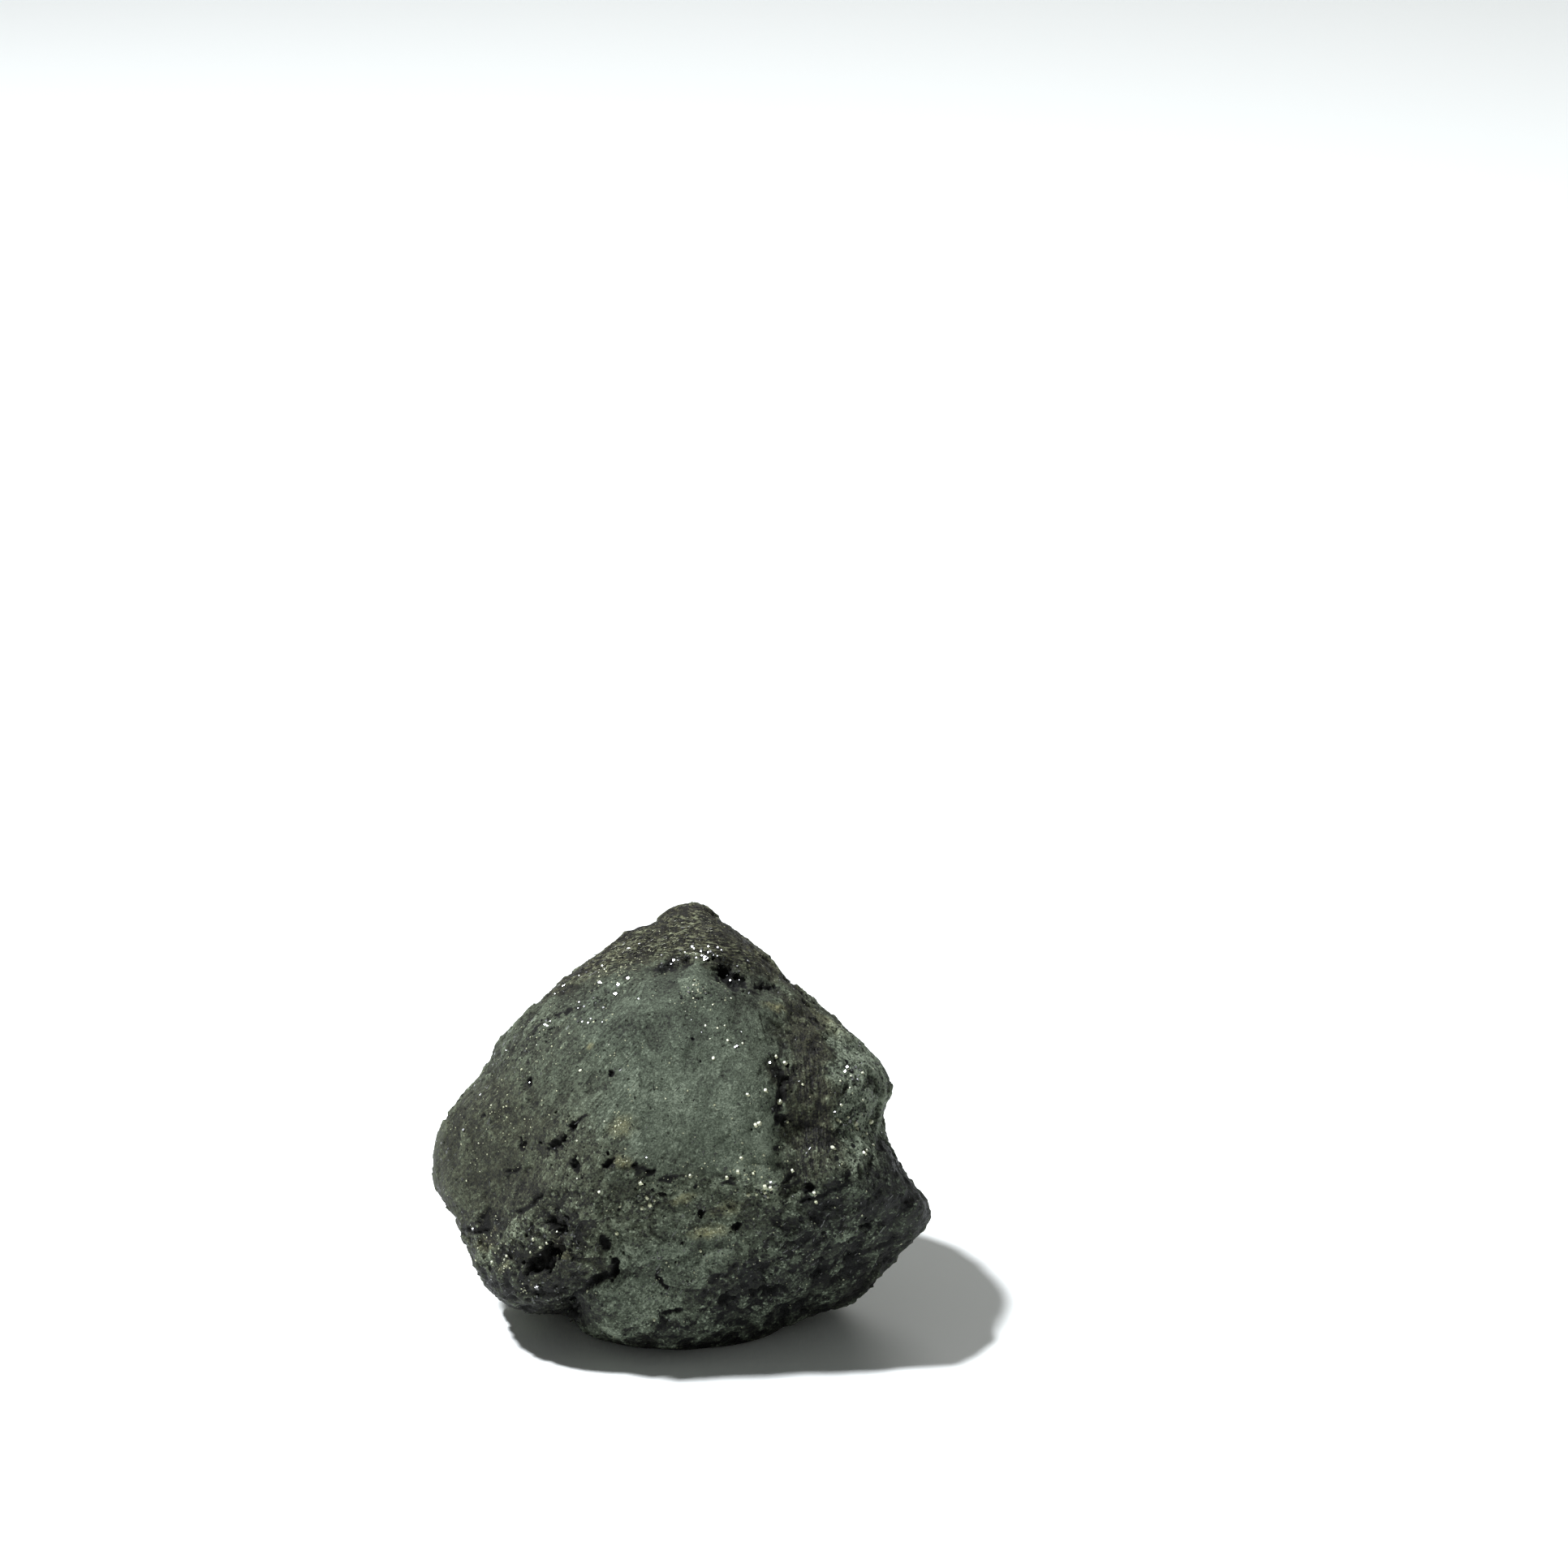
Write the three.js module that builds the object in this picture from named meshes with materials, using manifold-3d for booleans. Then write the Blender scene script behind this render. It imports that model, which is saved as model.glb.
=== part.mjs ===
// A rough lump of black tourmaline, about 60 mm across, lying on its flattest break.
// Millimetres, +Z up. It faces -Y, and the origin is the middle of its footprint.
import * as THREE from 'three';
import { ImprovedNoise } from 'three/addons/math/ImprovedNoise.js';
import { mergeVertices } from 'three/addons/utils/BufferGeometryUtils.js';
import Module from 'manifold-3d';

const { clamp, degToRad, lerp, smoothstep } = THREE.MathUtils;

// Driving dimensions. The stone's broad face leans back, and the stone is described square to that face:
// u runs to the right, v up the face and w out of it, all from the stone's heart.
const leanDegrees = 24;
const heartHeight = 24.3;
const heartBehind = -1;
const frontBulge = 22;
const backBulge = 27;
const bulgeRoundness = 2.15;
const edgeSharpness = 26;
const meshDetail = 21;
const frontDetail = 0.18; // draws the mesh towards the front, which has the finer relief

// Outline square to the broad face, [u, v], from the peak and round by the left.
const outline = [
  [0.2, 27.1], [-1.2, 26.6], [-2.6, 24.6], [-6.8, 22.8], [-11.4, 20.0], [-16.0, 16.3], [-20.2, 11.8],
  [-22.1, 8.8], [-23.8, 5.4], [-27.2, 2.4], [-29.9, -2.4], [-29.7, -7.6], [-27.0, -12.3], [-25.2, -16.6],
  [-23.0, -20.8], [-19.8, -22.4], [-15.9, -23.1], [-13.4, -23.3], [-11.8, -24.9], [-9.4, -26.1],
  [-4.7, -26.9], [2.9, -27.4], [6.6, -26.7], [14.0, -24.6], [22.4, -20.8], [26.8, -15.8], [30.6, -11.0],
  [28.1, -7.0], [24.3, 0], [25.0, 4.1], [24.4, 6.3], [22.1, 9.5], [15.9, 15.2], [11.3, 19.4], [7.2, 23.2],
  [3.0, 26.4],
];

// Flat breaks that trim the rounded lump: the way each one faces, and how far it lies from the heart.
// Azimuth 0 is the front, 90 the right and 180 the back.
const breaks = [
  { azimuth: -7, elevation: 38, distance: 20.6 }, // broad face
  { azimuth: -70, elevation: 62, distance: 21.2 }, // band along the upper left edge
  { azimuth: 6, elevation: -6, distance: 20.6 }, // lower front
  { azimuth: -40, elevation: 13, distance: 23.2 }, // left cheek
  { azimuth: 25, elevation: -28, distance: 24.2 }, // lower right, turning under
  { azimuth: 120, elevation: 44, distance: 23.0 }, // behind the right shoulder
  { azimuth: 130, elevation: -26, distance: 24.5 }, // under the right-hand corner
  { azimuth: -130, elevation: 38, distance: 23.5 }, // behind the upper left band
  { azimuth: -136, elevation: -24, distance: 24.0 }, // behind the lower left lump
  { azimuth: 176, elevation: -44, distance: 22.5 }, // back, turning under
];

// The back is a face of the old crystal, stepped in ridges along its length. The face looks this way, and its
// ridges lean from upright by this much. Its section is [across, out from the heart], square to the ridges.
const crystalFace = { azimuth: 170, elevation: 10, lean: 24, length: 120 };
const crystalSection = [
  [-60, -60], [-60, 4], [-30, 11], [-24.5, 14.2], [-20.6, 16.9], [-20.0, 18.1], [-14.4, 20.6], [-13.7, 19.8],
  [-9.2, 21.2], [-8.3, 22.6], [-2.2, 23.4], [-1.4, 22.2], [3.4, 22.6], [4.3, 21.3], [9.4, 20.6], [10.2, 21.5],
  [14.8, 19.6], [15.9, 17.8], [20.4, 15.6], [21.0, 16.2], [25.5, 12.6], [32, 9], [60, 4], [60, -60],
];

// Relief, in the same [u, v]. A side of 1 is the broad face's side of the stone, and -1 the back.
const grooves = [
  // Under the cap.
  { side: 1, depth: 1.2, width: 1.7, path: [[-3.6, 19.8], [1.5, 20.2], [6, 18], [11, 16.2]] },
  // Trough beside the right shoulder.
  { side: 1, depth: 1.3, width: 3.2, path: [[14, 11.5], [15.2, 4], [14, -5]] },
  // Cleft between the lower left lump and the rest.
  { side: 1, depth: 1.5, width: 1.8, path: [[-7.9, -14.5], [-8.2, -17.4], [-11.5, -19.6], [-13, -23.4]] },
  // Crack across the back.
  { side: -1, depth: 0.9, width: 1.6, path: [[-20, 9], [-10, 6.5], [-3, 8], [6, 4]] },
];
const hollows = [
  { side: 1, depth: 1.9, at: [-15.8, -16], reach: [3.2, 1.9], turn: 25 }, // deep pit of the lower left lump
  { side: 1, depth: 1.2, at: [-15.4, -11.6], reach: [1.8, 2.3], turn: -15 },
  { side: 1, depth: 1.3, at: [5.6, 18.4], reach: [2.3, 1.7], turn: -20 },
  { side: 1, depth: 0.8, at: [-8.6, -13.2], reach: [1.7, 1.6], turn: 0 },
  { side: 1, depth: 0.7, at: [15, -7.2], reach: [2.0, 1.6], turn: 20 },
  { side: -1, depth: 2.4, at: [14, -9], reach: [6, 4], turn: 35 },
  { side: -1, depth: 1.5, at: [-16, -14], reach: [4, 3], turn: -20 },
];
// The skin steps in on the right-hand side of each ledge's path, and comes back out over its run.
const ledges = [
  // Foot of the broad face.
  { side: 1, height: 0.7, drop: 3.5, run: 9, path: [[25, -3], [15.4, -7.2], [4, -6.6], [-8.6, -4.5]] },
  // Over the lower left lump.
  { side: 1, height: 0.9, drop: 2, run: 6, path: [[-13, -6.5], [-18.5, -8.5], [-22, -12.4], [-28, -12.4]] },
  // Left edge of the trough.
  { side: 1, height: 0.7, drop: 2, run: 5, path: [[11.4, -8], [11.2, 4]] },
  { side: -1, height: 1.6, drop: 2, run: 10, path: [[-26, 12], [-12, 16], [0, 14], [14, 17]] },
  { side: -1, height: 1.5, drop: 2, run: 9, path: [[22, -4], [10, -14], [-6, -16], [-20, -10]] },
];
const ledgeTaper = 5; // each ledge fades out over this much at its ends
const rimTaper = 3; // and all of this relief fades out towards the rim between the two sides
const lumps = { spacing: 11, height: 0.7, shift: 7.3 };
const bumps = { spacing: 4.2, height: 0.36, shift: 31.7 };
const backRoughness = 1.6; // how much stronger both are on the back
const backStarts = [-4, 8]; // depths behind the rim over which they grow

const lean = degToRad(leanDegrees);
const acrossFace = new THREE.Vector3(1, 0, 0);
const upFace = new THREE.Vector3(0, Math.sin(lean), Math.cos(lean));
const outOfFace = new THREE.Vector3(0, -Math.cos(lean), Math.sin(lean));
const heart = new THREE.Vector3(0, heartBehind, heartHeight);

const outlineSamples = 1440;
// Radius of the outline in each direction, from a fine smooth curve through its points.
const outlineCurve = new THREE.CatmullRomCurve3(outline.map(([u, v]) => new THREE.Vector3(u, v, 0)), true);
const outlinePolar = outlineCurve.getPoints(outlineSamples)
  .map((p) => ({ angle: Math.atan2(p.y, p.x), radius: Math.hypot(p.x, p.y) }))
  .sort((a, b) => a.angle - b.angle);

function outlineRadius(angle) {
  let low = 0;
  let high = outlinePolar.length - 1;
  while (high - low > 1) {
    const middle = (low + high) >> 1;
    if (outlinePolar[middle].angle > angle) high = middle;
    else low = middle;
  }
  const [a, b] = [outlinePolar[low], outlinePolar[high]];
  return lerp(a.radius, b.radius, clamp((angle - a.angle) / (b.angle - a.angle || 1), 0, 1));
}

function facing(azimuth, elevation) {
  const [a, e] = [degToRad(azimuth), degToRad(elevation)];
  return new THREE.Vector3(Math.sin(a) * Math.cos(e), -Math.cos(a) * Math.cos(e), Math.sin(e));
}
const breakPlanes = breaks.map((b) => ({ normal: facing(b.azimuth, b.elevation), distance: b.distance }));

// Distance from the heart to the skin of the trimmed lump, before any relief.
function lumpRadius(direction) {
  const u = direction.dot(acrossFace);
  const v = direction.dot(upFace);
  const w = direction.dot(outOfFace);
  const rim = Math.hypot(u, v) / outlineRadius(Math.atan2(v, u));
  const bulge = Math.abs(w) / (w > 0 ? frontBulge : backBulge);
  const rounded = (rim ** bulgeRoundness + bulge ** bulgeRoundness) ** (1 / bulgeRoundness);
  let sum = rounded ** edgeSharpness;
  for (const { normal, distance } of breakPlanes) {
    sum += Math.max(0, direction.dot(normal) / distance) ** edgeSharpness;
  }
  return sum ** (-1 / edgeSharpness);
}

// Nearest distance from a point to a path, the side of it that the point is on (1 is the right-hand side),
// and how far that nearest place is from the path's nearer end.
function fromPath(u, v, path) {
  let best = { distance: Infinity };
  let length = 0;
  for (let i = 1; i < path.length; i++) {
    const [[au, av], [bu, bv]] = [path[i - 1], path[i]];
    const [du, dv] = [bu - au, bv - av];
    const span = Math.hypot(du, dv);
    const share = clamp(((u - au) * du + (v - av) * dv) / span ** 2, 0, 1);
    const distance = Math.hypot(u - au - share * du, v - av - share * dv);
    const hand = (u - au) * dv - (v - av) * du > 0 ? 1 : -1;
    if (distance < best.distance) best = { distance, hand, along: length + share * span };
    length += span;
  }
  return { ...best, fromEnd: Math.min(best.along, length - best.along) };
}

const bell = (x) => Math.exp(-x * x);

function carved(u, v, side) {
  let depth = 0;
  for (const groove of grooves.filter((g) => g.side === side)) {
    depth += groove.depth * bell(fromPath(u, v, groove.path).distance / groove.width);
  }
  for (const hollow of hollows.filter((h) => h.side === side)) {
    const turn = degToRad(hollow.turn);
    const [du, dv] = [u - hollow.at[0], v - hollow.at[1]];
    const along = (du * Math.cos(turn) + dv * Math.sin(turn)) / hollow.reach[0];
    const across = (dv * Math.cos(turn) - du * Math.sin(turn)) / hollow.reach[1];
    depth += hollow.depth * bell(Math.hypot(along, across));
  }
  for (const ledge of ledges.filter((l) => l.side === side)) {
    const { distance, hand, fromEnd } = fromPath(u, v, ledge.path);
    const step = smoothstep(distance, 0, ledge.drop) * bell(distance / ledge.run);
    if (hand > 0) depth += ledge.height * step * smoothstep(fromEnd, 0, ledgeTaper);
  }
  return depth;
}

const noise = new ImprovedNoise();
const noiseAt = (p, { spacing, shift }) => noise.noise(p.x / spacing + shift, p.y / spacing, p.z / spacing);

function relief(p, u, v, w) {
  const rough = lerp(1, backRoughness, smoothstep(-w, ...backStarts));
  const lump = lumps.height * noiseAt(p, lumps);
  const bump = bumps.height * noiseAt(p, bumps);
  return rough * (lump + bump) - carved(u, v, w > 0 ? 1 : -1) * smoothstep(Math.abs(w), 0, rimTaper);
}

function skinPoint(direction) {
  const radius = lumpRadius(direction);
  const p = direction.clone().multiplyScalar(radius);
  const out = radius + relief(p, p.dot(acrossFace), p.dot(upFace), p.dot(outOfFace));
  return direction.clone().multiplyScalar(out).add(heart);
}

const mergeDistance = 1e-5;

function withMergedCorners(geometry) {
  geometry.deleteAttribute('normal');
  geometry.deleteAttribute('uv');
  return mergeVertices(geometry, mergeDistance);
}

function stoneSkin() {
  const skin = withMergedCorners(new THREE.IcosahedronGeometry(1, meshDetail));
  const place = skin.getAttribute('position');
  const direction = new THREE.Vector3();
  for (let i = 0; i < place.count; i++) {
    direction.fromBufferAttribute(place, i).addScaledVector(outOfFace, frontDetail).normalize();
    place.setXYZ(i, ...skinPoint(direction).toArray());
  }
  return skin;
}

const wasm = await Module();
wasm.setup();

function toSolid(geometry) {
  return new wasm.Manifold(new wasm.Mesh({
    numProp: 3,
    vertProperties: geometry.getAttribute('position').array,
    triVerts: new Uint32Array(geometry.index.array),
  }));
}

function toGeometry(solid) {
  const { numProp, vertProperties, triVerts } = solid.getMesh();
  const packed = new THREE.InterleavedBuffer(vertProperties, numProp);
  return new THREE.BufferGeometry()
    .setAttribute('position', new THREE.InterleavedBufferAttribute(packed, 3, 0))
    .setIndex(new THREE.BufferAttribute(triVerts, 1));
}

// What lies inside the old crystal's stepped face; the lump is kept only there.
function insideCrystal() {
  const { azimuth, elevation, lean, length } = crystalFace;
  const out = facing(azimuth, elevation);
  const level = new THREE.Vector3(0, 0, 1).cross(out).normalize();
  const axis = out.clone().cross(level).applyAxisAngle(out, degToRad(lean));
  const across = out.clone().cross(axis);
  const section = new THREE.Shape(crystalSection.map(([s, t]) => new THREE.Vector2(s, t)));
  const block = new THREE.ExtrudeGeometry(section, { depth: length, bevelEnabled: false });
  block.translate(0, 0, -length / 2);
  block.applyMatrix4(new THREE.Matrix4().makeBasis(across, out, axis).setPosition(heart));
  return withMergedCorners(block);
}

// Everything under the resting face, taken off the lump to leave that face flat.
function underRestingFace() {
  const size = 4 * heartHeight;
  return withMergedCorners(new THREE.BoxGeometry(size, size, size).translate(0, 0, -size / 2));
}

const wholeLump = toSolid(stoneSkin());
const shaped = wholeLump.intersect(toSolid(insideCrystal())).subtract(toSolid(underRestingFace()));
const stoneFinish = new THREE.MeshStandardMaterial({ color: 0x4a4f45, roughness: 0.7, metalness: 0 });
const stone = new THREE.Mesh(toGeometry(shaped), stoneFinish);
stone.name = 'stone';
const middle = new THREE.Box3().setFromObject(stone).getCenter(new THREE.Vector3());
stone.position.set(-middle.x, -middle.y, 0);

const part = new THREE.Group();
part.add(stone);
export default part;
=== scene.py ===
import bmesh
import bpy
import math
import random
from mathutils import Matrix, Quaternion, Vector, noise
from mathutils.bvhtree import BVHTree


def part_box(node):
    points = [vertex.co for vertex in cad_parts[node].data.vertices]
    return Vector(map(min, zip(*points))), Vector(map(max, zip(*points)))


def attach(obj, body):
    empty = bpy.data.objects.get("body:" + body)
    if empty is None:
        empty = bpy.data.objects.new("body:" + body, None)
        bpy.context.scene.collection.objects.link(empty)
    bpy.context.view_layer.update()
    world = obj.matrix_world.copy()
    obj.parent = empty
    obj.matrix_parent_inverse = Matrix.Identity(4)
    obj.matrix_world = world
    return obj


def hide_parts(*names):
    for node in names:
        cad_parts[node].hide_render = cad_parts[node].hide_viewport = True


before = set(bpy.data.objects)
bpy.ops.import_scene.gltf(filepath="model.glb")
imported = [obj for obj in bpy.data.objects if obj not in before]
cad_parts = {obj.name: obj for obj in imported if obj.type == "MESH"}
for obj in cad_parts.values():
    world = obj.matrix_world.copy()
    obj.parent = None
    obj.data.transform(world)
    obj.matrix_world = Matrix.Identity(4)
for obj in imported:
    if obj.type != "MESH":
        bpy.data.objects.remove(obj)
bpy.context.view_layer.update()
mm = 0.001
scene = bpy.context.scene


def facing(azimuth, elevation):  # azimuth 0 is the front, 90 the right
    a, e = math.radians(azimuth), math.radians(elevation)
    return Vector((math.sin(a) * math.cos(e), -math.cos(a) * math.cos(e), math.sin(e)))


def smoothstep(low, high, x):
    t = min(1, max(0, (x - low) / (high - low)))
    return t * t * (3 - 2 * t)


def linear(hexColour):
    channels = [int(hexColour[i:i + 2], 16) / 255 for i in (1, 3, 5)]
    return [c / 12.92 if c <= 0.04045 else ((c + 0.055) / 1.055) ** 2.4 for c in channels] + [1]


def addNode(tree, kind, settings={}, links={}):  # a link from a node takes its first output in use
    node = tree.nodes.new("ShaderNode" + kind)
    for name, value in settings.items():
        if isinstance(name, int) or name in node.inputs:
            node.inputs[name].default_value = value
        else:
            setattr(node, name, value)
    for name, source in links.items():
        if isinstance(source, bpy.types.Node):
            source = next(output for output in source.outputs if output.enabled)
        tree.links.new(source, node.inputs[name])
    return node


plus, minus, times = ({"operation": name} for name in ("ADD", "SUBTRACT", "MULTIPLY"))
mixed = {"data_type": "RGBA"}


def newMaterial(name):
    material = bpy.data.materials.new(name)
    material.use_nodes = True
    return material, material.node_tree, material.node_tree.nodes["Principled BSDF"]


# Camera, floor and light

view = {
    "elevation": 20,
    "distance": 600,  # mm, and so is the point that it looks at
    "aim": (12.44, 13.84, 62),
    "lens": 114.04,
    "sensor": 36,
    "farthest": 20,  # m
}

cameraData = bpy.data.cameras.new("camera")
cameraData.lens = view["lens"]
cameraData.sensor_width = view["sensor"]
cameraData.clip_end = view["farthest"]
camera = bpy.data.objects.new("camera", cameraData)
scene.collection.objects.link(camera)
aim = Vector(view["aim"])
toCamera = facing(0, view["elevation"])
upView = facing(180, 90 - view["elevation"])
rightView = Vector((1, 0, 0))


def across(turn):  # the way that the camera sees at this angle, level is 0
    return math.cos(math.radians(turn)) * rightView + math.sin(math.radians(turn)) * upView


camera.location = (aim + view["distance"] * toCamera) * mm
camera.rotation_euler = (-toCamera).to_track_quat("-Z", "Y").to_euler()
scene.camera = camera

# plain paper, bright and without a shine
floorLook = {"radius": 4, "sides": 64, "colour": "#f2f4f1", "roughness": 0.6}


def makeFloor():
    bm = bmesh.new()
    bmesh.ops.create_circle(bm, cap_ends=True, segments=floorLook["sides"], radius=floorLook["radius"])
    mesh = bpy.data.meshes.new("floor")
    bm.to_mesh(mesh)
    bm.free()
    material, _, shader = newMaterial("matteWhitePaper")
    shader.inputs["Base Color"].default_value = linear(floorLook["colour"])
    shader.inputs["Roughness"].default_value = floorLook["roughness"]
    mesh.materials.append(material)
    floor = bpy.data.objects.new("floor", mesh)
    scene.collection.objects.link(floor)


lights = {  # m
    "key": {
        "azimuth": -82, "elevation": 64, "distance": 1.0, "size": 0.1, "watts": 21.5, "colour": "#f6f9ff",
    },
    "fill": {
        "azimuth": 165, "elevation": 45, "distance": 1.2, "size": 0.8, "watts": 3, "colour": "#ffffff",
    },
}
litHeight = 25  # mm above the floor, where the lights point
skyLook = {"colour": "#eef2f0", "strength": 0.21}


def makeLights():
    for name, look in lights.items():
        data = bpy.data.lights.new(name, "AREA")
        data.shape = "DISK"
        data.size = look["size"]
        data.energy = look["watts"]
        data.color = linear(look["colour"])[:3]
        light = bpy.data.objects.new(name, data)
        out = facing(look["azimuth"], look["elevation"])
        light.location = out * look["distance"] + Vector((0, 0, litHeight * mm))
        light.rotation_euler = out.to_track_quat("Z", "Y").to_euler()
        scene.collection.objects.link(light)
    world = bpy.data.worlds.new("paleStudio")
    world.use_nodes = True
    background = world.node_tree.nodes["Background"]
    background.inputs["Color"].default_value = linear(skyLook["colour"])
    background.inputs["Strength"].default_value = skyLook["strength"]
    scene.world = world
    scene.view_settings.view_transform = "Standard"


makeFloor()
makeLights()
print("camera, floor and lights are in place")

# The stone. A place on its front is [u, v] in mm: across and up as the camera sees it, from its middle.
# The numbers added inside a noise only keep its patterns apart.

form = {
    "seed": 8,
    "heart": (-0.06, -1.66, 24.3),  # mm, the whole skin can be seen from here
    "lean": 24,  # degrees that the broad face leans back
    "ballDivisions": 6,
    "edgeCuts": 2,
    "frontDetail": 0.3,  # draws the mesh towards the broad face
    "weld": 0.001,  # mm
    "smoothing": (8, 0.5),  # how often, and how far each time
    "middleOfView": (12.55, 41.27),  # the camera aims at this place [u, v]
    "crystalOut": (170, 10),  # azimuth and elevation of the ridged crystal face
    "crystalLean": 24,  # degrees that its ridges lean from upright
    # how far the skin looks a certain way: where a mark starts, and where it is full
    "ridgeTip": (0.06, 0.02),  # or tips along the ridges
    "ridgeOut": (0.2, 0.6),
    "frontOut": (-0.05, 0.3),
    "capOut": (-0.2, 0.2),
    "capStreakOut": (0, 0.45),
    "flatFoot": (0, 1.5),  # mm above the ground, the same for all relief
    "inset": 0.12,  # mm, keeps the roughened skin inside the solid
    "room": (0.9, 0.02),  # it may rise this share of the way to the solid's box, and mm more
}
noise.seed_set(form["seed"])
heart = Vector(form["heart"])
outOfFace = facing(0, form["lean"])
crystalOut = facing(*form["crystalOut"])
crystalAxis = crystalOut.cross(Vector((0, 0, 1)).cross(crystalOut).normalized())
crystalAxis.rotate(Quaternion(crystalOut, math.radians(form["crystalLean"])))
crystalAcross = crystalOut.cross(crystalAxis)


def stoneBall():  # a ball laid on the solid and rounded, marked where its crystal face is
    cad = bmesh.new()
    cad.from_mesh(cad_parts["stone"].data)
    bmesh.ops.remove_doubles(cad, verts=cad.verts, dist=form["weld"] * mm)
    solid = BVHTree.FromBMesh(cad)
    cad.free()
    bm = bmesh.new()
    bmesh.ops.create_icosphere(bm, subdivisions=form["ballDivisions"], radius=1)
    bmesh.ops.subdivide_edges(bm, edges=bm.edges, cuts=form["edgeCuts"], use_grid_fill=True)
    ridged = bm.verts.layers.float.new("ridged")
    for vert in bm.verts:
        direction = (vert.co.normalized() + form["frontDetail"] * outOfFace).normalized()
        vert.co, normal, _, _ = solid.ray_cast(heart * mm, direction)
        tipped = smoothstep(*form["ridgeTip"], abs(normal.dot(crystalAxis)))
        vert[ridged] = tipped * smoothstep(*form["ridgeOut"], normal.dot(crystalOut))
    rounds, factor = form["smoothing"]
    for _ in range(rounds):
        bmesh.ops.smooth_vert(
            bm, verts=bm.verts, factor=factor, use_axis_x=True, use_axis_y=True, use_axis_z=True
        )
    bm.normal_update()
    return bm


def seenAt(point):
    away = point - aim
    scale = view["distance"] / (view["distance"] - away.dot(toCamera))
    middle = form["middleOfView"]
    return middle[0] + away.x * scale, middle[1] + away.dot(upView) * scale


def oval(u, v, at, reach, turn=0):  # squared distance from an oval's middle: 1 is its rim
    c, s = math.cos(math.radians(turn)), math.sin(math.radians(turn))
    du, dv = u - at[0], v - at[1]
    return ((du * c + dv * s) / reach[0]) ** 2 + ((dv * c - du * s) / reach[1]) ** 2


def fromPath(u, v, path):  # distance to its right (left is minus), and how far in from its ends
    best, signed, along, walked = math.inf, math.inf, 0, 0
    for (au, av), (bu, bv) in zip(path, path[1:]):
        du, dv = bu - au, bv - av
        length = math.hypot(du, dv)
        share = min(1, max(0, ((u - au) * du + (v - av) * dv) / length ** 2))
        distance = math.hypot(u - au - share * du, v - av - share * dv)
        if distance < best:
            side = 1 if (u - au) * dv - (v - av) * du > 0 else -1
            best, signed, along = distance, distance * side, walked + share * length
        walked += length
    return signed, min(along, walked - along)


def layers(p, waves):  # sum of noises, each [spacing, height] in mm
    total = 0
    for spacing, height in waves:
        total += height * noise.noise(p / spacing + Vector((7.7 * spacing, 3.1, 1.9)))
    return total


def hackly(p, size):  # flat breaks: every cell of this size tilts its own way
    place = (p + 0.2 * size * noise.noise_vector(p / size)) / size
    centre = noise.voronoi(place)[1][0]
    return size * (noise.cell_vector(centre * 5.3) - Vector((0.5, 0.5, 0.5))).dot(place - centre)


# each zone: middle, reach and turn of its oval, then dust, lowered in places as painted shade, mottling,
# roughness, brown and glint, all 0 to 1
zones = [
    [(1, 3.5), (12.5, 9), 0, 0.67, 0.06, 0.18, 0, 0.02],  # broad face
    [(-14, 6), (5, 5), 0, 0.46, 0.13, 0.22, 0.07, 0.04],  # its left end
    [(-3, 13), (12, 6), 12, 0.53, 0.14, 0.25, 0, 0.1],  # its upper part
    [(7.5, -1.5), (5.5, 5), 0, 0.76, 0.06, 0.2, 0, 0.02],  # its lower right, thickest dust
    [(-24, -3), (8, 9), 0, 0.29, 0.12, 0.28, 0.17, 0.05],  # left cheek
    [(-14, -3), (6, 3.5), 20, 0.41, 0.5, 0.35, 0.14, 0.06],  # broken patch between them
    [(-16, 14), (14, 3.4), 40, 0.4, 0.3, 0.45, 0.08, 0.3],  # band above the crease
    [(15.3, 4), (2.8, 8), 4, 0.08, 0.45, 0.45, 0.32, 0.06],  # trough
    [(14.5, -3.5), (3.4, 3.5), 0, 0.24, 0.6, 0.6, 0.12, 0.1],  # its foot
    [(22, 4), (3.6, 8), 10, 0.86, 0.6, 0.75, 0.02, 0.5],  # shoulder
    [(2, -9.5), (13, 3.2), 6, 0.54, 0.6, 0.7, 0.1, 0.12],  # under the broad face
    [(-2, -17), (12, 5), 38, 0.7, 0.3, 0.45, 0, 0.05],  # bottom bulge
    [(18, -10.5), (9, 3.5), 16, 0.41, 0.75, 0.75, 0, 0.06],  # right, under the shoulder
    [(15, -17.5), (13, 4.5), 30, 0.36, 1.1, 0.95, 0, 0.05],  # lower right, thin dust and painted shade
    [(28, -8), (4, 9), 0, 0.06, 0.7, 0.8, 0, 0.05],  # right flank, thin dust and painted shade
    [(8, -23.5), (16, 2.4), 10, 0.34, 1.15, 0.9, 0, 0.04],  # underneath
    [(-18.5, -15), (8.5, 6), 0, 0.27, 0.75, 1, 0.14, 0.14],  # lump
    [(-17, -21), (8, 2.6), -14, 0.04, 0.9, 0.9, 0.05, 0.1],  # under the lump
]
elsewhere = [0.43, 0.50, 0.80, 0.16, 0.12]  # where no zone reaches
elsewhereWeight = 0.12
capLook = [0.08, 0.30, 0.50, 0.45, 0.14]
troughOval = [(15.2, 2), (3.8, 9.5), 4]

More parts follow.
